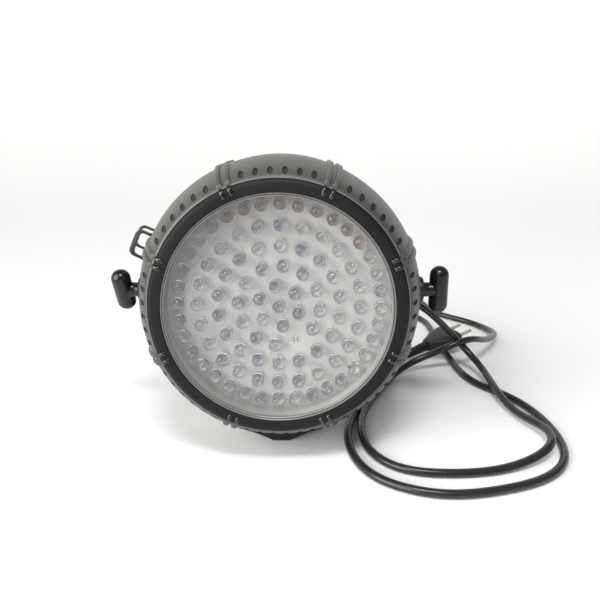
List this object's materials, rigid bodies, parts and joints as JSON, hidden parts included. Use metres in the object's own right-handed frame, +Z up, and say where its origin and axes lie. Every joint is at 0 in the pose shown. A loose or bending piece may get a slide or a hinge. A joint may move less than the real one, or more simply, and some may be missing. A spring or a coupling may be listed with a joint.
{
  "type": "par can light",
  "caption": "Flat round LED par can on two tilting yokes with T-shaped knobs, a clear lens, a rear control panel and a mains lead with a flat two-pin plug.",
  "frame": {"origin": "on the ground, midway between the light's sides and between its front and its back, leaving out the lead", "axes": "+Z up, the light faces -Y, +X to the right as seen from the front, along the line through the two knobs"},
  "size_m": [0.392, 0.4444, 0.2378],
  "materials": {
    "grey_shell": "satin silver-grey moulded plastic",
    "black_plastic": "matt black moulded plastic",
    "black_gloss": "glossy black label plate",
    "black_steel": "black powder coat on steel",
    "clear_lens": "clear moulded polycarbonate",
    "rubber": "matt black rubber",
    "white_plastic": "white moulded plastic",
    "white_board": "white circuit board with clear LEDs",
    "green_board": "green circuit board",
    "brass": "turned brass",
    "bright_steel": "bright zinc-plated steel",
    "dark_window": "smoked display window",
    "cord_pvc": "glossy black flexible PVC",
    "pin": "plated pin with a cream insulating sleeve"
  },
  "bodies": {
    "head": {"front_shell": "grey_shell", "bezel_ring": "black_plastic", "rear_shell": "black_plastic", "stand_foot": "black_plastic", "fuse_holder": "black_plastic", "lens": "clear_lens", "lens_gasket": "rubber", "cord_gland": "rubber", "foot_pad": "rubber", "light_collar": "white_plastic", "inner_washer_left": "white_plastic", "inner_washer_right": "white_plastic", "led_board": "white_board", "power_supply_board": "green_board", "control_board": "green_board", "board_spacer_1": "brass", "board_spacer_2": "brass", "board_spacer_3": "brass", "board_spacer_4": "brass", "pivot_insert_left": "brass", "pivot_insert_right": "brass", "control_panel": "black_gloss", "display_window": "dark_window", "signal_in_socket": "black_steel", "signal_out_socket": "black_steel", "outer_washer_left": "black_steel", "outer_washer_right": "black_steel", "shell_screw_1": "bright_steel", "shell_screw_2": "bright_steel", "shell_screw_3": "bright_steel", "shell_screw_4": "bright_steel", "power_cord": "cord_pvc", "plug_body": "cord_pvc", "plug_strain_relief": "cord_pvc", "plug_pin_left": "pin", "plug_pin_right": "pin"},
    "hanging_yoke": {"hanging_yoke": "black_steel", "safety_loop": "black_steel"},
    "floor_yoke": {"floor_yoke": "black_steel"},
    "left_knob": {"knob_left": "black_plastic", "knob_stud_left": "bright_steel"},
    "right_knob": {"knob_right": "black_plastic", "knob_stud_right": "bright_steel"},
    "button_menu": {"button_menu": "black_plastic"},
    "button_down": {"button_down": "black_plastic"},
    "button_up": {"button_up": "black_plastic"},
    "button_enter": {"button_enter": "black_plastic"}
  },
  "joints": [
    {"name": "hanging_yoke_tilt", "type": "hinge", "parent": "head", "child": "hanging_yoke", "pos_m": [0, -0.01379, 0.12344], "axis": [1, 0, 0], "range_deg": [-30, 70]},
    {"name": "floor_yoke_tilt", "type": "hinge", "parent": "head", "child": "floor_yoke", "pos_m": [0, -0.01379, 0.12344], "axis": [1, 0, 0], "range_deg": [-15, 21]},
    {"name": "left_knob_turn", "type": "hinge", "parent": "head", "child": "left_knob", "pos_m": [-0.134, -0.01379, 0.12344], "axis": [1, 0, 0], "continuous": true},
    {"name": "right_knob_turn", "type": "hinge", "parent": "head", "child": "right_knob", "pos_m": [0.134, -0.01379, 0.12344], "axis": [1, 0, 0], "continuous": true},
    {"name": "button_menu_press", "type": "slide", "parent": "head", "child": "button_menu", "axis": [0, -0.9962, 0.0872], "range_m": [0, 0.0012], "stiffness_N_per_m": 900, "springref_m": -0.0003},
    {"name": "button_down_press", "type": "slide", "parent": "head", "child": "button_down", "axis": [0, -0.9962, 0.0872], "range_m": [0, 0.0012], "stiffness_N_per_m": 900, "springref_m": -0.0003},
    {"name": "button_up_press", "type": "slide", "parent": "head", "child": "button_up", "axis": [0, -0.9962, 0.0872], "range_m": [0, 0.0012], "stiffness_N_per_m": 900, "springref_m": -0.0003},
    {"name": "button_enter_press", "type": "slide", "parent": "head", "child": "button_enter", "axis": [0, -0.9962, 0.0872], "range_m": [0, 0.0012], "stiffness_N_per_m": 900, "springref_m": -0.0003}
  ]
}
